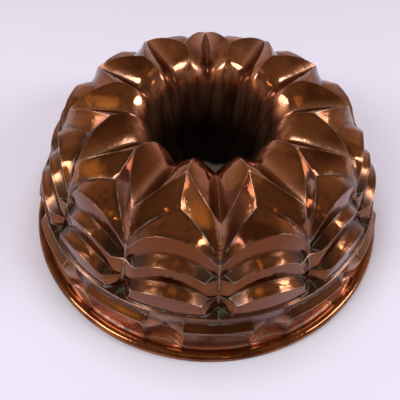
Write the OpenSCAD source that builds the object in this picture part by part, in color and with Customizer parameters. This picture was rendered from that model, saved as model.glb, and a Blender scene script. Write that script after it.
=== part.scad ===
// Ring cake mould pressed from one copper sheet: a fluted funnel in the middle, a crown of
// petals with stepped fronts, a band of raised bars below them, and a rolled bead round the rim.
// The mould stands open side down, on its rim, with its axis on Z.

/* [Rim] */
// Outer diameter of the rolled bead
rim_d = 240; // [232:1:252]
// Thickness of the rolled bead
bead_d = 7; // [5:0.5:8]
// Width of the flat that the bead stands on, inside its roll
bead_flat = 1; // [0.5:0.5:2]
// Thickness of the copper sheet
sheet_t = 1; // [0.6:0.1:1.3]

/* [Petals] */
// Number of petals round the mould
petals = 12; // [10:1:14]
// Width of a petal's front at the inner crease of each tread
crease_w = 42.6; // [38:0.1:45]
// Width of a petal's front at the nose of each tread
nose_w = 36; // [33:0.5:40]
// Width of a petal's front at the foot of the lowest riser
foot_w = 42; // [40:0.5:45]
// How far a nose's corners lie behind its middle
corner_back = 1.3; // [0:0.1:3]
// How far a crease's corners lie behind its middle
crease_back = 0.7; // [0:0.1:2]
// How far the foot's corners lie behind its middle
foot_back = 2.2; // [1:0.1:3.5]
// How squarely a tread's edges fall to their corners, where 2 is a plain curve
tread_square = 2.2; // [1.6:0.1:4]
// How squarely the arch falls to its corners
arch_square = 2.7; // [2:0.1:5]
// How squarely the crease behind a leaf falls into the groove
leaf_square = 2.7; // [1.6:0.1:4]
// Width of the arch over the steps
arch_w = 43; // [40:0.5:47]
// How far the arch's corners lie before its middle
arch_bow = 1.2; // [0:0.1:5]

/* [Band] */
// Height of the band's top edge above the table
band_h = 35; // [30:1:40]
// How far the band leans in from its foot to its top edge
band_lean = 5.5; // [4:0.5:8]
// Drop from the band's top edge to the raised bars
bar_drop = 4.6; // [3:0.2:7]
// How far the raised bars stand proud at their ridge
bar_proud = 4; // [1.5:0.1:4.5]
// Height of the sloping top of a raised bar
bar_slope_h = 3.6; // [2:0.2:6]
// Width of the gap between two bars at the foot
notch_w = 11.5; // [8:0.5:15]
// Depth of the gap between two bars
notch_deep = 2.6; // [1:0.1:4]
// Drop from the tops of the bars to the tip of the gap
notch_drop = 6; // [3:0.5:8]
// Extra drop of the gap's floor below the ridge of the bars
ridge_dip = 3; // [0:0.5:5]
// Length of the slanted end of a bar
bar_end = 5; // [3:0.5:7]
// How far the bars' foot stands in from the foot of the band
bar_foot_in = 0.4; // [0:0.1:1]

/* [Steps] */
// Width of the narrow ledge between the band's edge and the lowest riser
ledge_w = 1.5; // [1:0.1:4]
// Rise of that ledge at the middle of a petal
ledge_rise = 0.9; // [0.5:0.1:5]
// Height of the lowest riser
riser_low_h = 12.7; // [10:0.1:13.5]
// Height of the middle riser
riser_mid_h = 11; // [8:0.1:13]
// Height of the top riser, up to the arch
riser_top_h = 10.8; // [9:0.1:12]
// How far the lowest riser leans back
riser_low_lean = 2; // [0.5:0.1:3]
// How far the middle riser leans back
riser_mid_lean = 1.8; // [0.5:0.1:3]
// How far the top riser leans back
riser_top_lean = 2.8; // [1:0.1:4]
// Depth of the lower tread from nose to crease
low_tread_w = 6.3; // [5:0.1:8]
// Height that the lower tread drops from crease to nose
low_tread_drop = 2.8; // [2:0.1:5]
// Depth of the upper tread from nose to crease
high_tread_w = 6; // [5:0.1:8]
// Height that the upper tread drops from crease to nose
high_tread_drop = 2.7; // [2:0.1:5]
// Fall of the lowest riser's foot from its middle to its corner
foot_fall = 0.5; // [0:0.1:1.5]
// Fall of the lower tread's nose
low_nose_fall = 5.4; // [3:0.2:8]
// Fall of the lower tread's crease
low_crease_fall = 9; // [7:0.2:11]
// Fall of the upper tread's nose
high_nose_fall = 9.8; // [7:0.2:12]
// Fall of the upper tread's crease
high_crease_fall = 12; // [10:0.1:15]
// Fall of the arch over the steps
arch_fall = 14.6; // [11:0.2:18]

/* [Grooves] */
// How far the groove's foot lies behind the band's edge
groove_back = 6.7; // [5:0.1:9]
// Height of the groove between two petals
groove_h = 27.6; // [24:0.2:31]
// How far the groove leans back over its height
groove_lean = 10.6; // [8:0.2:13]

/* [Crown] */
// Length of the leaf behind the arch
leaf_l = 16; // [13:0.2:19]
// Rise of the leaf from the arch to its tip
leaf_rise = 2.2; // [0:0.2:5]
// Swell of the leaf between its tip and the arch
leaf_swell = 0.9; // [0:0.1:2]
// Length of the crease from a leaf's tip to a petal's peak
peak_back = 14.6; // [11:0.2:17]
// Height of the peak over the leaf's tip
peak_rise = 10.6; // [8:0.2:14]
// How far the foot of the zigzag edge lies behind the groove's top
zigzag_back = 9.4; // [7:0.2:12]
// Height of the foot of the zigzag edge over the groove's top
zigzag_rise = 18; // [15:0.2:21]
// How far the zigzag edge swells outward between peak and foot
zigzag_out = 1.7; // [0:0.1:3]
// How far the zigzag edge swells upward between peak and foot
zigzag_up = 2.2; // [0:0.1:4]

/* [Funnel] */
// Radius of the lip between crown and funnel
lip_r = 17.4; // [14:0.2:20]
// How far the lip's ridges begin behind the peaks
lip_back = 2.4; // [1:0.2:5]
// Width of the valleys' level run behind the zigzag edge
valley_run = 24.5; // [20:0.5:27]
// Drop of the valleys along that run
valley_drop = 0.2; // [0:0.2:5]
// Diameter inside the ridges at the funnel's lower end
funnel_d = 54; // [50:1:62]
// Depth of the flutes at the funnel's lower end
flute_deep = 3; // [1.5:0.1:5]
// Gap between the funnel's lower end and the table
funnel_gap = 2.5; // [1:0.5:8]
// Swell of each half flute over the lip
flute_swell = 0.7; // [0:0.1:1.5]

/* [Hidden] */

half = 180 / petals;
// Shares of half a petal at which the sheet is divided, from its middle to the groove
ACROSS = [0, 0.28, 0.55, 0.76, 0.91, 1];
LAST = len(ACROSS) - 1;
// Shares of the way from the middle of a petal's front to its corner
TO_CORNER = [0, 0.31, 0.6, 0.84, 1];
// Shares of half a petal along the band's edge, where the fifth meets the steps' corner
ALONG_BAND = [0, 0.25, 0.5, 0.68, 0.79, 1];

foot_r = rim_d / 2 - bead_d;
band_r = foot_r - band_lean;

// A point in a petal's own frame: X out through its middle, Y to its side
function polar(r, angle, z) = [r * cos(angle), r * sin(angle), z];
function at_groove(r, z) = polar(r, half, z);
function mix(a, b, t) = a + (b - a) * t;
// A swell that is nothing at both ends and 1 halfway
function swell(t) = 4 * t * (1 - t);

// Groove between two petals, from its foot at the band up to its top
groove_r = band_r - groove_back;
function groove(t) = at_groove(groove_r - groove_lean * t, band_h + groove_h * t);

// Steps of a petal's front, each given by its middle's place and height
foot_x = band_r - ledge_w;
foot_z = band_h + ledge_rise;
low_nose_x = foot_x - riser_low_lean;
low_nose_z = foot_z + riser_low_h;
low_crease_x = low_nose_x - low_tread_w;
low_crease_z = low_nose_z + low_tread_drop;
high_nose_x = low_crease_x - riser_mid_lean;
high_nose_z = low_crease_z + riser_mid_h;
high_crease_x = high_nose_x - high_tread_w;
high_crease_z = high_nose_z + high_tread_drop;
arch_x = high_crease_x - riser_top_lean;
arch_z = high_crease_z + riser_top_h;

// An edge across a petal's front, which runs from its corner straight on into the groove
function step_row(x, z, width, back, fall, square = tread_square) = [
    for (t = TO_CORNER) [x - back * t * t, width / 2 * t, z - fall * pow(t, square)],
    groove(max(0, z - fall - band_h) / groove_h)
];

// Crown: leaf's tip, peak of the petal, and foot of the zigzag edge
tip_x = arch_x - leaf_l;
tip_z = arch_z + leaf_rise;
peak_x = tip_x - peak_back;
peak_z = tip_z + peak_rise;
zigzag_r = groove_r - groove_lean - zigzag_back;
zigzag_z = band_h + groove_h + zigzag_rise;

zigzag_row = [
    for (t = ACROSS) mix([peak_x, 0, peak_z], at_groove(zigzag_r, zigzag_z), t)
        + swell(t) * [zigzag_out, 0, zigzag_up]
];
tip_row = [
    for (t = ACROSS) let (p = mix([tip_x, 0, tip_z], groove(1), t))
        [p[0], p[1], mix(tip_z, groove(1)[2], pow(t, leaf_square))]
];
flank_row = [for (i = [0:LAST]) mix(zigzag_row[i], tip_row[i], 0.5)];
arch_row = step_row(arch_x, arch_z, arch_w, -arch_bow, arch_fall, arch_square);
leaf_row = [
    for (i = [0:LAST]) mix(tip_row[i], arch_row[i], 0.5)
        + [0, 0, leaf_swell * (1 - ACROSS[i] * ACROSS[i])]
];

// Lip between crown and funnel, an arc on each ridge and each valley
LIP_ANGLES = [8, 33, 60, 86];
ridge_x = peak_x - lip_back;
valley_x = zigzag_r - valley_run;
valley_z = zigzag_z - valley_drop;
function on_lip(x, z, angle) = [x - lip_r * sin(angle), z - lip_r * (1 - cos(angle))];
function flute_row(ridge, valley, swell_mm) = [
    for (t = ACROSS) mix([ridge[0], 0, ridge[1]], at_groove(valley[0], valley[1]), t)
        + swell(t) * swell_mm
];
function lip_row(angle) = flute_row(
    on_lip(ridge_x, peak_z, angle), on_lip(valley_x, valley_z, angle),
    flute_swell * [-sin(angle), 0, cos(angle)]);
funnel_end_row = flute_row(
    [funnel_d / 2, funnel_gap], [funnel_d / 2 + flute_deep, funnel_gap], [0, 0, 0]);
funnel_mid_row = [
    for (i = [0:LAST]) mix(funnel_end_row[i], lip_row(LIP_ANGLES[3])[i], 0.5)
];

// Band of raised bars, with a notch at the middle of each petal
bar_top_z = band_h - bar_drop;
bar_top_r = band_r + bar_drop * band_lean / band_h;
bar_ridge_z = bar_top_z - bar_slope_h;
bar_ridge_r = bar_top_r + bar_proud;
bar_foot_r = foot_r - bar_foot_in;
bar_foot_z = bead_d * 0.75;
half_arc = foot_r * half * PI / 180;
notch_share = notch_w / 2 / half_arc;
bar_share = notch_share + bar_end / half_arc;
// Notch widths at the bars' top, ridge and foot, as shares of the whole notch
NOTCH_OPEN = [0.3, 0.62, 1];
// Shares of a notch's depth and of its drop that are left at the foot of a bar's slanted end
END_DEPTH = 0.8;
END_DROP = 0.6;
function arc_row(r, z, shares) = [for (s = shares) polar(r, half * s, z)];
function bar_shares(notch) = [0, notch, bar_share, mix(bar_share, 1, 1 / 3), mix(bar_share, 1, 2 / 3), 1];
// Edge along a bar, which drops into the notch by the depth and height given
function bar_row(r, z, open, depth, drop) = let (shares = bar_shares(notch_share * open)) [
    polar(r - depth, 0, z - drop),
    polar(r - depth * END_DEPTH, half * shares[1], z - drop * END_DROP),
    for (i = [2:LAST]) polar(r, half * shares[i], z)
];
band_edge_row = arc_row(band_r, band_h, ALONG_BAND);
bar_top_row = bar_row(bar_top_r, bar_top_z, NOTCH_OPEN[0], 0, notch_drop);
bar_ridge_row = bar_row(bar_ridge_r, bar_ridge_z, NOTCH_OPEN[1], bar_proud, notch_drop + ridge_dip);
bar_foot_row = bar_row(bar_foot_r, bar_foot_z, NOTCH_OPEN[2], notch_deep, 0);

// Rolled bead round the rim, from the groove at the band's foot down to the table
bead_r = bead_d / 2;
bead_x = rim_d / 2 - bead_r;
BEAD_ANGLES = [160, 118, 78, 38, 0, -40];
bead_rows = [
    for (a = BEAD_ANGLES) arc_row(bead_x + bead_r * cos(a), bead_r + bead_r * sin(a), ACROSS),
    arc_row(bead_x + bead_flat, 0, ACROSS)
];

// All edges of the shown side of the sheet, from the funnel's lower end to the foot of the band
outer = [
    funnel_end_row, funnel_mid_row,
    lip_row(LIP_ANGLES[3]), lip_row(LIP_ANGLES[2]), lip_row(LIP_ANGLES[1]), lip_row(LIP_ANGLES[0]),
    zigzag_row, flank_row, tip_row, leaf_row, arch_row,
    step_row(high_crease_x, high_crease_z, crease_w, crease_back, high_crease_fall),
    step_row(high_nose_x, high_nose_z, nose_w, corner_back, high_nose_fall),
    step_row(low_crease_x, low_crease_z, crease_w, crease_back, low_crease_fall),
    step_row(low_nose_x, low_nose_z, nose_w, corner_back, low_nose_fall),
    step_row(foot_x, foot_z, foot_w, foot_back, foot_fall),
    band_edge_row, bar_top_row, bar_ridge_row, bar_foot_row
];
ROWS = len(outer);

// Neighbours past the middle and past the groove are mirror images
function across_middle(p) = [p[0], -p[1], p[2]];
function across_groove(p) = let (c = cos(2 * half), s = sin(2 * half))
    [p[0] * c + p[1] * s, p[0] * s - p[1] * c, p[2]];
function node_at(i, j) = j < 0 ? across_middle(outer[i][-j])
    : j > LAST ? across_groove(outer[i][2 * LAST - j])
    : outer[i][j];
function unit(v) = v / norm(v);
function patch_normal(i, j) = unit(cross(
    node_at(i + 1, j + 1) - node_at(i, j), node_at(i, j + 1) - node_at(i + 1, j)));
function patches(i, j) = [
    for (di = [-1, 0], dj = [-1, 0]) if (i + di >= 0 && i + di < ROWS - 1) patch_normal(i + di, j + dj)
];
function sum(list) = [for (n = list) 1] * list;
// Least cosine that is used where patches meet sharply, which keeps the hidden side short there
SHARPEST = 0.6;
// The hidden side lies one sheet's thickness behind every patch that meets at the point
function behind(i, j) = let (
        normals = patches(i, j),
        mean = unit(sum(normals)),
        lean = sum(normals) * mean / len(normals))
    outer[i][j] - mean * sheet_t / max(lean, SHARPEST);
inner = [for (i = [0:ROWS - 1]) [for (j = [0:LAST]) behind(i, j)]];
inner_foot_row = arc_row(bar_foot_r - sheet_t, 0, ACROSS);

function level(row, z) = [for (p = row) [p[0], p[1], z]];
// The sheet's section as one closed loop of rows: shown side out, bead, hidden side back
loop = [
    each outer,
    each bead_rows,
    inner_foot_row,
    for (i = [ROWS - 1:-1:1]) inner[i],
    level(inner[0], funnel_gap)
];

// One ring of points: each petal has its left half mirrored from its right half
PER_PETAL = 2 * LAST;
RING = petals * PER_PETAL;
function turn(p, angle) = [
    p[0] * cos(angle) - p[1] * sin(angle), p[0] * sin(angle) + p[1] * cos(angle), p[2]];
function petal_angle(k) = -90 + half * (2 * k + 1);
function ring(row) = [
    for (k = [0:petals - 1], j = [1 - LAST:LAST])
        turn(j < 0 ? across_middle(row[-j]) : row[j], petal_angle(k))
];

module mould() {
    rows = len(loop);
    // Each patch is split along the diagonal that mirrors its twin in the petal's other half
    function patch(i, j) = let (
            a = i * RING + j,
            b = (i + 1) % rows * RING + j,
            c = (i + 1) % rows * RING + (j + 1) % RING,
            d = i * RING + (j + 1) % RING)
        j % PER_PETAL < LAST - 1 ? [[a, d, b], [d, c, b]] : [[a, d, c], [a, c, b]];
    color([0.72, 0.38, 0.24])
        polyhedron(
            points = [for (row = loop) each ring(row)],
            faces = [for (i = [0:rows - 1], j = [0:RING - 1]) each patch(i, j)],
            convexity = 12);
}

mould();
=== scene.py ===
# Copper ring cake mould, pressed from one sheet, standing open side down on a pale table
import math

import bmesh
import bpy
from mathutils import Matrix, Vector, kdtree, noise


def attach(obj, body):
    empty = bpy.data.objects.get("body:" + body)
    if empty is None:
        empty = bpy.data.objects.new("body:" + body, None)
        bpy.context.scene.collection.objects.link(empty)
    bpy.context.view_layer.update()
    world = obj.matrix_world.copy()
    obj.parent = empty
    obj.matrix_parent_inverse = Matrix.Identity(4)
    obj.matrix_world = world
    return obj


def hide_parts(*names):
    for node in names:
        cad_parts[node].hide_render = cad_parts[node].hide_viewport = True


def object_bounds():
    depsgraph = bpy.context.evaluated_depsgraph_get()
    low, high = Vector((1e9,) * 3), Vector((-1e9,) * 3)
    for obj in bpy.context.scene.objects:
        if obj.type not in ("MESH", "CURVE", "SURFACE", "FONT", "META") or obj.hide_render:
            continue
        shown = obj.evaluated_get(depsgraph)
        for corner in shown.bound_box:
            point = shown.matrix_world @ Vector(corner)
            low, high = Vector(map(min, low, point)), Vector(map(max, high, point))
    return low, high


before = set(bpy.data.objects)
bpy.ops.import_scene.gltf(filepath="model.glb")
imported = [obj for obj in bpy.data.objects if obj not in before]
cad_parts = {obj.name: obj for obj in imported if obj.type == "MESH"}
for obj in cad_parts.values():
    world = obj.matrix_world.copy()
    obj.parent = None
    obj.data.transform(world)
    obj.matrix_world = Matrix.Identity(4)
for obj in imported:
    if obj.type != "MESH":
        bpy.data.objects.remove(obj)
cad_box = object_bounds()

# Camera, at the photograph's angle
IMAGE_SIZE = 400
FOCAL_PIXELS = 381.05
SENSOR_MM = 36.0
CAMERA_PLACE = Vector((-0.01523, -0.17353, 0.22409))
AIM_POINT = Vector((-0.00535, -0.00566, 0.0))
CAMERA_ROLL = 0.02897

# Folds of the pressing
MERGE_DISTANCE = 1e-5
FOLD_STARTS = math.radians(13)
FOLD_FULL = math.radians(25)
LIP_RADIUS = 0.0575
LIP_FOLD_INNER = 0.0436
LIP_FOLD_OUTER = 0.0478
LIP_FOLD = 0.1
RADIAL_WIDTH = 0.0004
BEAD_RADIUS = 0.1128
BEAD_HEIGHT = 0.0072
SUBDIVISIONS = 2
SHADE_FOLD = math.radians(16)
FOLD_RADIUS = 0.0006
FOLD_REACH = 0.003
SAMPLE_STEP = 0.0005
LEAST_MARKED_FOLD = 0.2

# Places of residue, crusts, painted shade and painted light strips: the grooves between the petals, on the
# steps and on the crown, the grooves' feet and the notches' tips. Corners are given as distance from the
# axis and height.
PETALS = 12
STEPS_FOOT = 0.034
STEPS_TOP = 0.064
STEPS_INNER = 0.088
VALLEY_REACH = 0.018
CROWN_INNER = 0.047
CROWN_OUTER = 0.083
CROWN_REACH = 0.0045
FOOT_CORNER = (0.1020, 0.0355)
NOTCH_CORNER = (0.1095, 0.0235)
CORNER_REACH = 0.007

# Unevenness of a sheet pressed and kept by hand
DENT_SIZE = 0.022
DENT_DEPTH = 0.00022
DENTS_FULL_HEIGHT = 0.012

# Colours of the copper and of what lies on it, with painted shade, painted light and painted reflections
# among them
BARE_COPPER = (0.28, 0.106, 0.043)
TARNISHED_COPPER = (0.13, 0.040, 0.017)
DARK_SPOT = (0.08, 0.03, 0.016)
# Painted shade with dirt: darkens the folds and the level ends of the treads by the grooves
GRIME_AND_PAINTED_SHADE = (0.06, 0.026, 0.015)
# Painted light: lighter strips along the crown's grooves, standing in for light reflected there
PAINTED_LIGHT_STRIP = (0.46, 0.22, 0.13)
# Polish with painted highlight lines along the convex folds
POLISH_AND_HIGHLIGHT_EDGE = (0.60, 0.34, 0.24)
# Painted shade: darker brown on the steep risers
PAINTED_RISER_SHADE = (0.16, 0.042, 0.008)
# Painted shade deep in the funnel, darkest at the foot
FUNNEL_FOOT_SHADE = (0.005, 0.0025, 0.002)
FUNNEL_MIDDLE_SHADE = (0.03, 0.013, 0.008)
# Painted reflection: upright light and dark streaks on the upper funnel wall
REFLECTION_STREAK_LIGHT = (0.46, 0.21, 0.12)
REFLECTION_STREAK_DARK = (0.22, 0.085, 0.045)
# Painted light: the band and its bars made paler, standing in for light reflected between band and bead
PAINTED_BAND_LIGHT = (0.54, 0.28, 0.19)
RESIDUE = (0.15, 0.16, 0.14)
CRUST = (0.055, 0.068, 0.055)

# Sizes of the patches on the copper
CLOUD_SIZE = 0.028
SPECK_SIZE = 0.005
BLOTCH_SIZE = 0.016
REFLECTION_STREAK_SIZE = 0.0045
GRAIN_SIZE = 0.0016
RIPPLE_SIZE = 0.009

# Where the patches begin and end, as distances from the axis, with their shares as above
FUNNEL_EDGE = (0.041, 0.049)
CROWN_EDGE = (0.070, 0.085, 0.5, 1.0)
RISERS_EDGE = (0.080, 0.084)
BEAD_EDGE = (0.1145, 0.1135)

# Where the patches begin and end, as heights over the table, with their shares as above
RISERS_SHADED = (0.033, 0.041)
BAND_TOP = (0.028, 0.016, 0.0, 0.85)
FUNNEL_LOW = (0.0, 0.030)
FUNNEL_HIGH = (0.030, 0.078)
FUNNEL_DULLED = (0.084, 0.074)

# Where each patch fades in: from and to, then its least and most share where these aren't 0 and 1
TARNISH_FADE = (0.42, 0.62)
SPOTS_FADE = (0.58, 0.70, 0.0, 0.45)
EDGE_WEAR_AND_HIGHLIGHT_FADE = (0.45, 0.60, 0.6, 0.15)
RIDGE_FADE = (0.75, 0.98)
LIGHT_STRIP_FADE = (0.0, 0.9, 0.0, 0.6)
FOLD_GRIME_AND_SHADE_FADE = (0.1, 0.8, 0.0, 0.7)
TREAD_END_SHADE_FADE = (0.1, 0.45)
REFLECTION_STREAKS_FADE = (0.40, 0.62)
BLOTCHES_FADE = (0.38, 0.55)
FOLD_LINE_FADE = (0.76, 0.97)
FOLD_LINE_BREAKS = (0.38, 0.60)
VALLEY_LINE_FADE = (0.965, 0.99)
VALLEY_LINE_BREAKS = (0.36, 0.56)
CRUST_FADE = (0.15, 0.8)
CRUST_BREAKS = (0.46, 0.58)

# How far the surface faces up, where it is taken as steep and where as level
STEEP = (0.45, 0.25)
LEVEL = (0.30, 0.50)

# Finish of the copper: bump heights in metres, and how strongly the ripples show
FUNNEL_METAL = 0.86
SHEET_METAL = 0.97
RESIDUE_METAL = 0.25
COAT_WEIGHT = 0.1
COAT_ROUGHNESS = 0.12
BARE_ROUGHNESS = 0.06
TARNISHED_ROUGHNESS = 0.15
RESIDUE_ROUGHNESS = 0.5
GRIME_AND_SHADE_ROUGHNESS = 0.3
SHELTERED_ROUGHNESS = 0.16
GRAIN_HEIGHT = 0.0004
GRAIN_STRENGTH = 0.08
RIPPLE_HEIGHT = 0.0009
RIPPLE_IN_FUNNEL = 0.08
RIPPLE_OUTSIDE = 0.35
FOLD_SAMPLES = 6

# Long lamps: azimuth and elevation of both ends in degrees, width in metres, radiance, colour
LAMP_TARGET = Vector((0, 0, 0.04))
LAMP_DISTANCE = 1.3
LAMPS = {
    "left_lamp": ((-167, 26), (-131, 49), 0.34, 12.0, (0.88, 0.92, 1.0)),
    "right_lamp": ((-9, 20), (-34, 46), 0.31, 12.0, (0.88, 0.92, 1.0)),
    "warm_lamp": ((-81, 38), (-77, 40), 0.08, 9.0, (1.0, 0.66, 0.3)),
}

# Room seen in the copper. The fades are along the Y and Z of the direction looked in.
WORLD_FRONT = (0.22, 0.15, 0.10)
WORLD_TOP = (0.30, 0.21, 0.135)
WORLD_SIDES = (0.60, 0.46, 0.34)
WORLD_BEHIND = (0.82, 0.66, 0.70)
FRONT_TO_SIDES = (-0.8, -0.1)
SIDES_TO_TOP = (0.4, 0.95)
WALL_TOP = (0.15, 0.5, 1.0, 0.0)
WALL_SIDE = (0.0, 0.6)
GOLD_GLOW = (1.0, 0.70, 0.28)
# Golden glows: azimuth and elevation in degrees, and the cosine at which they fade out
GLOWS = ((-147, 18, 0.92), (-98, 62, 0.985))

# Table
FLOOR_SIZE = 3.0
FLOOR_COLOUR = (0.84, 0.87, 1.0)
FLOOR_ROUGHNESS = 0.8
FLOOR_SHINE = 0.2
FLOOR_GLOW = (0.13, 0.13, 0.21)
GLOW_STARTS = 0.116
GLOW_FULL = 0.14


def add_camera():
    back = (CAMERA_PLACE - AIM_POINT).normalized()
    right = Vector((0, 0, 1)).cross(back).normalized()
    up = back.cross(right)
    rolled_right = math.cos(CAMERA_ROLL) * right + math.sin(CAMERA_ROLL) * up
    rolled_up = math.cos(CAMERA_ROLL) * up - math.sin(CAMERA_ROLL) * right
    data = bpy.data.cameras.new("camera")
    data.sensor_width = SENSOR_MM
    data.lens = FOCAL_PIXELS * SENSOR_MM / IMAGE_SIZE
    camera = bpy.data.objects.new("camera", data)
    bpy.context.scene.collection.objects.link(camera)
    turn = Matrix((rolled_right, rolled_up, back)).transposed().to_4x4()
    camera.matrix_world = Matrix.Translation(CAMERA_PLACE) @ turn
    bpy.context.scene.camera = camera


def select_only(piece):
    bpy.ops.object.select_all(action="DESELECT")
    piece.select_set(True)
    bpy.context.view_layer.objects.active = piece


def copy_of_node(name, piece_name):
    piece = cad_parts[name].copy()
    piece.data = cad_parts[name].data.copy()
    piece.name = piece_name
    piece.parent = None
    for key in list(piece.keys()):
        del piece[key]
    bpy.context.scene.collection.objects.link(piece)
    return piece


def merge_to_patches(piece):
    """Join the loose triangles and take out the diagonal of every patch."""
    select_only(piece)
    bpy.ops.object.mode_set(mode="EDIT")
    bpy.ops.mesh.select_all(action="SELECT")
    bpy.ops.mesh.remove_doubles(threshold=MERGE_DISTANCE)
    work = bmesh.from_edit_mesh(piece.data)
    work.faces.ensure_lookup_table()
    diagonals = []
    for first in range(0, len(work.faces), 2):
        shared = set(work.faces[first].edges) & set(work.faces[first + 1].edges)
        diagonals.extend(shared)
    bmesh.ops.dissolve_edges(work, edges=diagonals, use_verts=False)
    bmesh.update_edit_mesh(piece.data)
    bpy.ops.object.mode_set(mode="OBJECT")


def is_rounded(start, end):
    """True on the bead and on the lip of the funnel, which curve without a fold."""
    on_bead = min(start.xy.length, end.xy.length) > BEAD_RADIUS and max(start.z, end.z) < BEAD_HEIGHT
    on_lip = max(start.xy.length, end.xy.length) < LIP_RADIUS
    return on_bead or (on_lip and not is_radial(start, end))


def is_radial(start, end):
    return abs(start.xy.cross(end.xy)) < RADIAL_WIDTH * start.xy.length


def is_lip_fold(start, end):
    """True on the edge where the crown turns down into the funnel."""
    nearer, farther = sorted((start.xy.length, end.xy.length))
    return nearer > LIP_FOLD_INNER and farther < LIP_FOLD_OUTER and not is_radial(start, end)


def crease_folds(piece):
    """Crease each edge by how sharply the sheet folds there, and return points along the folds."""
    work = bmesh.new()
    work.from_mesh(piece.data)
    crease = work.edges.layers.float.new("crease_edge")
    ridges = []
    grooves = []
    for edge in work.edges:
        start, end = (vert.co for vert in edge.verts)
        if is_lip_fold(start, end):
            edge[crease] = LIP_FOLD
            continue
        if is_rounded(start, end):
            continue
        angle = edge.calc_face_angle_signed()
        fold = min(max((abs(angle) - FOLD_STARTS) / (FOLD_FULL - FOLD_STARTS), 0), 1)
        edge[crease] = fold
        if fold > LEAST_MARKED_FOLD:
            steps = max(int(edge.calc_length() / SAMPLE_STEP), 1)
            places = ridges if angle > 0 else grooves
            places.extend((start.lerp(end, i / steps), fold) for i in range(steps + 1))
    work.to_mesh(piece.data)
    work.free()
    return ridges, grooves


def round_folds(piece):
    select_only(piece)
    smooth = piece.modifiers.new("rounded folds", "SUBSURF")
    smooth.levels = SUBDIVISIONS
    smooth.render_levels = SUBDIVISIONS
    bpy.ops.object.modifier_apply(modifier=smooth.name)
    bpy.ops.object.shade_smooth_by_angle(angle=SHADE_FOLD)


def dent(piece):
    """Slow unevenness, which bends the reflections as a worn sheet does."""
    normals = [vert.normal.copy() for vert in piece.data.vertices]
    top = cad_box[1][2]
    for vert, normal in zip(piece.data.vertices, normals):
        share = min(vert.co.z / DENTS_FULL_HEIGHT, (top - vert.co.z) / DENTS_FULL_HEIGHT, 1)
        vert.co += normal * (DENT_DEPTH * share * noise.noise(vert.co / DENT_SIZE))


def mark_grooves(piece):
    """Store how near each point lies to the grooves between two petals, from 0 to 1."""
    step = math.tau / PETALS
    valley = []
    crown = []
    for vert in piece.data.vertices:
        radius = vert.co.xy.length
        turn = math.atan2(vert.co.y, vert.co.x) % step
        distance = min(turn, step - turn) * radius
        in_band = STEPS_FOOT < vert.co.z < STEPS_TOP and radius > STEPS_INNER
        on_crown = vert.co.z > STEPS_TOP and CROWN_INNER < radius < CROWN_OUTER
        valley.append(max(1 - distance / VALLEY_REACH, 0) if in_band else 0)
        crown.append(max(1 - distance / CROWN_REACH, 0) if on_crown else 0)
    piece.data.attributes.new("valley", "FLOAT", "POINT").data.foreach_set("value", valley)
    piece.data.attributes.new("crown", "FLOAT", "POINT").data.foreach_set("value", crown)


def corner_places():
    """The tips of the notches between the bars, and the feet of the grooves."""
    places = []
    for k in range(2 * PETALS):
        turn = math.pi * k / PETALS
        radius, height = (FOOT_CORNER, NOTCH_CORNER)[k % 2]
        places.append((Vector((radius * math.cos(turn), radius * math.sin(turn), height)), 1))
    return places


def mark_near(piece, name, places, reach=FOLD_REACH):
    """Store how near each point lies to the nearest of the places, from 0 to 1."""
    tree = kdtree.KDTree(len(places))
    for i, (place, _) in enumerate(places):
        tree.insert(place, i)
    tree.balance()
    values = []
    for vert in piece.data.vertices:
        _, index, distance = tree.find(vert.co)
        values.append(places[index][1] * max(1 - distance / reach, 0))
    piece.data.attributes.new(name, "FLOAT", "POINT").data.foreach_set("value", values)


def pressed_sheet():
    sheet = copy_of_node("mould", "pressed_sheet")
    merge_to_patches(sheet)
    ridges, grooves = crease_folds(sheet)
    round_folds(sheet)
    dent(sheet)
    mark_near(sheet, "ridge", ridges)
    mark_near(sheet, "groove", grooves)
    mark_near(sheet, "corner", corner_places(), CORNER_REACH)
    mark_grooves(sheet)
    return sheet


def add_node(tree, kind, **inputs):
    node = tree.nodes.new(kind)
    for name, value in inputs.items():
        socket = node.inputs[name.replace("_", " ")]
        if isinstance(value, bpy.types.NodeSocket):
            tree.links.new(value, socket)
        else:
            socket.default_value = value
    return node


def noise_map(tree, place, size, detail, distortion=0.0):
    """Noise whose lumps are about one size across, in metres."""
    node = add_node(tree, "ShaderNodeTexNoise", Vector=place, Scale=1 / size, Detail=detail,
                    Distortion=distortion)
    return node.outputs[0]


def ramp(tree, value, low, high, to_low=0.0, to_high=1.0):
    """Map a value smoothly from one range to another."""
    node = add_node(tree, "ShaderNodeMapRange", Value=value, From_Min=low, From_Max=high,
                    To_Min=to_low, To_Max=to_high)
    node.interpolation_type = "SMOOTHSTEP"
    return node.outputs[0]


def maths(tree, operation, first, second):
    node = tree.nodes.new("ShaderNodeMath")
    node.operation = operation
    for socket, value in zip(node.inputs, (first, second)):
        if isinstance(value, bpy.types.NodeSocket):
            tree.links.new(value, socket)
        else:
            socket.default_value = value
    return node.outputs[0]


def blend_colour(tree, share, first, second):
    node = tree.nodes.new("ShaderNodeMix")
    node.data_type = "RGBA"
    for socket, value in zip((node.inputs[0], node.inputs[6], node.inputs[7]), (share, first, second)):
        if isinstance(value, bpy.types.NodeSocket):
            tree.links.new(value, socket)
        else:
            socket.default_value = (*value, 1)
    return node.outputs[2]


def level_place(tree, place):
    """The place without its height, in which a noise runs as upright streaks."""
    flat = add_node(tree, "ShaderNodeVectorMath", Vector=place)
    flat.operation = "MULTIPLY"
    flat.inputs[1].default_value = (1, 1, 0)
    return flat.outputs[0]


def distance_from_axis(tree, place):
    distance = add_node(tree, "ShaderNodeVectorMath", Vector=level_place(tree, place))
    distance.operation = "LENGTH"
    return distance.outputs["Value"]


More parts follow.
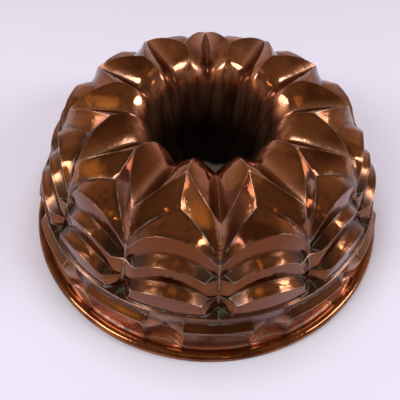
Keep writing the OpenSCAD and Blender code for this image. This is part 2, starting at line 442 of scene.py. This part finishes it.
def facing_up(tree):
    normal = tree.nodes.new("ShaderNodeNewGeometry").outputs["Normal"]
    return add_node(tree, "ShaderNodeSeparateXYZ", Vector=normal).outputs["Z"]


def new_material(name):
    material = bpy.data.materials.new(name)
    material.use_nodes = True
    return material, material.node_tree, material.node_tree.nodes["Principled BSDF"]


def attribute(tree, name):
    node = add_node(tree, "ShaderNodeAttribute")
    node.attribute_name = name
    return node.outputs["Fac"]


def product(tree, first, second):
    return maths(tree, "MULTIPLY", first, second)


def larger(tree, first, second):
    return maths(tree, "MAXIMUM", first, second)


def grime_and_shade_share(tree, from_axis):
    """Painted shade with dirt in the folds, less of it on the crown, and painted shade on the level ends
    of the treads.
    """
    in_folds = product(tree, ramp(tree, attribute(tree, "groove"), *FOLD_GRIME_AND_SHADE_FADE),
                       ramp(tree, from_axis, *CROWN_EDGE))
    in_valleys = product(tree, ramp(tree, facing_up(tree), *LEVEL),
                         ramp(tree, attribute(tree, "valley"), *TREAD_END_SHADE_FADE))
    return larger(tree, in_folds, in_valleys)


def copper_marks_and_painted_light(tree, clouds, specks, tarnish, grime_and_shade):
    """Tarnished and spotted copper, darkened by painted shade with dirt in the folds, with painted light
    in strips along the crown's grooves, and polish with painted highlight lines on the edges.
    """
    colour = blend_colour(tree, tarnish, BARE_COPPER, TARNISHED_COPPER)
    colour = blend_colour(tree, ramp(tree, specks, *SPOTS_FADE), colour, DARK_SPOT)
    # Painted shade with dirt in the folds and on the tread ends
    colour = blend_colour(tree, grime_and_shade, colour, GRIME_AND_PAINTED_SHADE)
    # Painted light: lighter strips along the crown's grooves
    light_strips = ramp(tree, attribute(tree, "crown"), *LIGHT_STRIP_FADE)
    colour = blend_colour(tree, light_strips, colour, PAINTED_LIGHT_STRIP)
    # Polish with painted highlight lines along the convex folds, broken up by the clouds
    worn = ramp(tree, clouds, *EDGE_WEAR_AND_HIGHLIGHT_FADE)
    polish_and_highlight = product(tree, ramp(tree, attribute(tree, "ridge"), *RIDGE_FADE), worn)
    return blend_colour(tree, polish_and_highlight, colour, POLISH_AND_HIGHLIGHT_EDGE)


# Painted shade: the steep risers of the middle steps made darker brown
def riser_shade_share(tree, height, from_axis):
    steep = ramp(tree, facing_up(tree), *STEEP)
    on_risers = product(tree, steep, ramp(tree, height, *RISERS_SHADED))
    return product(tree, on_risers, ramp(tree, from_axis, *RISERS_EDGE))


def funnel_colour(tree, place, height):
    """Painted shade, black at the foot, with painted reflection streaks upright towards the lip."""
    streaks = noise_map(tree, level_place(tree, place), REFLECTION_STREAK_SIZE, 3)
    low_wall = blend_colour(tree, ramp(tree, height, *FUNNEL_LOW), FUNNEL_FOOT_SHADE, FUNNEL_MIDDLE_SHADE)
    # Painted reflection streaks on the upper funnel wall
    high_wall = blend_colour(tree, ramp(tree, streaks, *REFLECTION_STREAKS_FADE), REFLECTION_STREAK_LIGHT, REFLECTION_STREAK_DARK)
    return blend_colour(tree, ramp(tree, height, *FUNNEL_HIGH), low_wall, high_wall)


def residue_shares(tree, place, specks, outside_funnel):
    """Broken grey-green lines in the grooves, and crusts at the corners."""
    blotches = noise_map(tree, place, BLOTCH_SIZE, 2)
    left_there = product(tree, outside_funnel, ramp(tree, blotches, *BLOTCHES_FADE))
    broken = product(tree, left_there, ramp(tree, specks, *FOLD_LINE_BREAKS))
    fold_line = product(tree, ramp(tree, attribute(tree, "groove"), *FOLD_LINE_FADE), broken)
    valley_line = product(tree, ramp(tree, attribute(tree, "valley"), *VALLEY_LINE_FADE),
                          ramp(tree, specks, *VALLEY_LINE_BREAKS))
    crusts = product(tree, ramp(tree, attribute(tree, "corner"), *CRUST_FADE),
                     ramp(tree, specks, *CRUST_BREAKS))
    return larger(tree, fold_line, valley_line), crusts


def uneven_normal(tree, place, outside_funnel):
    """Rounded folds, a fine grain and slow ripples."""
    grain = noise_map(tree, place, GRAIN_SIZE, 3)
    ripple = noise_map(tree, place, RIPPLE_SIZE, 2)
    fold = add_node(tree, "ShaderNodeBevel", Radius=FOLD_RADIUS)
    fold.samples = FOLD_SAMPLES
    fine = add_node(tree, "ShaderNodeBump", Height=grain, Strength=GRAIN_STRENGTH,
                    Distance=GRAIN_HEIGHT, Normal=fold.outputs[0])
    waves = ramp(tree, outside_funnel, 0.0, 1.0, RIPPLE_IN_FUNNEL, RIPPLE_OUTSIDE)
    bump = add_node(tree, "ShaderNodeBump", Height=ripple, Strength=waves, Distance=RIPPLE_HEIGHT,
                    Normal=fine.outputs[0])
    return bump.outputs[0]


# The copper: tarnish, spots and residue, with painted shade, painted light and painted reflections in its
# colour
def copper_wear_and_painted_light():
    material, tree, shader = new_material("copper_wear_and_painted_light")
    place = tree.nodes.new("ShaderNodeTexCoord").outputs["Object"]
    height = add_node(tree, "ShaderNodeSeparateXYZ", Vector=place).outputs["Z"]
    from_axis = distance_from_axis(tree, place)
    outside_funnel = ramp(tree, from_axis, *FUNNEL_EDGE)
    clouds = noise_map(tree, place, CLOUD_SIZE, 5, 0.4)
    specks = noise_map(tree, place, SPECK_SIZE, 6, 0.8)
    tarnish = ramp(tree, clouds, *TARNISH_FADE)
    # Share of painted shade with dirt in the folds and on the tread ends
    grime_and_shade = grime_and_shade_share(tree, from_axis)
    inside_bead = product(tree, ramp(tree, from_axis, *BEAD_EDGE), outside_funnel)
    on_band = product(tree, ramp(tree, height, *BAND_TOP), inside_bead)

    colour = copper_marks_and_painted_light(tree, clouds, specks, tarnish, grime_and_shade)
    # Painted shade on the steep risers
    colour = blend_colour(tree, riser_shade_share(tree, height, from_axis), colour, PAINTED_RISER_SHADE)
    colour = blend_colour(tree, outside_funnel, funnel_colour(tree, place, height), colour)
    # Painted light making the band paler
    colour = blend_colour(tree, on_band, colour, PAINTED_BAND_LIGHT)
    lines, crusts = residue_shares(tree, place, specks, outside_funnel)
    colour = blend_colour(tree, lines, colour, RESIDUE)
    colour = blend_colour(tree, crusts, colour, CRUST)
    tree.links.new(colour, shader.inputs["Base Color"])

    residue = larger(tree, lines, crusts)
    bare = ramp(tree, outside_funnel, 0.0, 1.0, FUNNEL_METAL, SHEET_METAL)
    metal = product(tree, bare, ramp(tree, residue, 0.0, 1.0, 1.0, RESIDUE_METAL))
    tree.links.new(metal, shader.inputs["Metallic"])
    shader.inputs["Coat Weight"].default_value = COAT_WEIGHT
    shader.inputs["Coat Roughness"].default_value = COAT_ROUGHNESS

    dulled = ramp(tree, tarnish, 0.0, 1.0, BARE_ROUGHNESS, TARNISHED_ROUGHNESS)
    deep = product(tree, ramp(tree, outside_funnel, 0.0, 1.0, 1.0, 0.0),
                   ramp(tree, height, *FUNNEL_DULLED))
    sheltered = product(tree, larger(tree, on_band, deep), SHELTERED_ROUGHNESS)
    dirt_and_shade = larger(tree, product(tree, residue, RESIDUE_ROUGHNESS), product(tree, grime_and_shade, GRIME_AND_SHADE_ROUGHNESS))
    rough = maths(tree, "ADD", dulled, larger(tree, dirt_and_shade, sheltered))
    tree.links.new(rough, shader.inputs["Roughness"])
    tree.links.new(uneven_normal(tree, place, outside_funnel), shader.inputs["Normal"])
    return material


def add_floor():
    bpy.ops.object.select_all(action="DESELECT")
    bpy.ops.mesh.primitive_plane_add(size=FLOOR_SIZE, location=(0, 0, 0))
    floor = bpy.context.active_object
    floor.name = "table"
    material, tree, shader = new_material("pale_table")
    shader.inputs["Base Color"].default_value = (*FLOOR_COLOUR, 1)
    shader.inputs["Roughness"].default_value = FLOOR_ROUGHNESS
    shader.inputs["Specular IOR Level"].default_value = FLOOR_SHINE
    shader.inputs["Emission Color"].default_value = (*FLOOR_GLOW, 1)
    rays = tree.nodes.new("ShaderNodeLightPath").outputs
    seen = larger(tree, rays["Is Camera Ray"], rays["Is Glossy Ray"])
    place = tree.nodes.new("ShaderNodeTexCoord").outputs["Object"]
    clear_of_mould = ramp(tree, distance_from_axis(tree, place), GLOW_STARTS, GLOW_FULL)
    tree.links.new(product(tree, seen, clear_of_mould), shader.inputs["Emission Strength"])
    floor.data.materials.append(material)


def direction(azimuth, elevation):
    turn = math.radians(azimuth)
    rise = math.radians(elevation)
    return Vector((math.cos(turn) * math.cos(rise), math.sin(turn) * math.cos(rise), math.sin(rise)))


def add_lamps():
    for name, (first_end, last_end, width, radiance, colour) in LAMPS.items():
        first = direction(*first_end) * LAMP_DISTANCE
        last = direction(*last_end) * LAMP_DISTANCE
        length = (last - first).length
        data = bpy.data.lights.new(name, "AREA")
        data.shape = "ELLIPSE"
        data.size = length
        data.size_y = width
        data.color = colour
        data.energy = radiance * math.pi * math.pi * length * width / 4
        lamp = bpy.data.objects.new(name, data)
        bpy.context.scene.collection.objects.link(lamp)
        along = (last - first) / length
        away = (first + last).normalized()
        across = away.cross(along)
        place = LAMP_TARGET + away * LAMP_DISTANCE
        lamp.matrix_world = Matrix.Translation(place) @ Matrix((along, across, away)).transposed().to_4x4()


def add_world():
    """Dim warm room with a pale wall behind the mould and golden glows in front."""
    world = bpy.data.worlds.new("dim_room")
    world.use_nodes = True
    tree = world.node_tree
    place = tree.nodes.new("ShaderNodeTexCoord").outputs["Generated"]
    axes = add_node(tree, "ShaderNodeSeparateXYZ", Vector=place).outputs
    round_colour = blend_colour(tree, ramp(tree, axes["Y"], *FRONT_TO_SIDES), WORLD_FRONT, WORLD_SIDES)
    room = blend_colour(tree, ramp(tree, axes["Z"], *SIDES_TO_TOP), round_colour, WORLD_TOP)
    behind = product(tree, ramp(tree, axes["Y"], *WALL_SIDE), ramp(tree, axes["Z"], *WALL_TOP))
    colour = blend_colour(tree, behind, room, WORLD_BEHIND)
    for azimuth, elevation, fade in GLOWS:
        towards = add_node(tree, "ShaderNodeVectorMath", Vector=place)
        towards.operation = "DOT_PRODUCT"
        towards.inputs[1].default_value = direction(azimuth, elevation)
        colour = blend_colour(tree, ramp(tree, towards.outputs["Value"], fade, 1.0), colour, GOLD_GLOW)
    tree.links.new(colour, tree.nodes["Background"].inputs["Color"])
    bpy.context.scene.world = world


add_camera()
sheet = pressed_sheet()
sheet.data.materials.clear()
sheet.data.materials.append(copper_wear_and_painted_light())
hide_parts("mould")
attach(sheet, "root")

add_floor()
add_lamps()
add_world()
bpy.context.scene.view_settings.view_transform = "Standard"
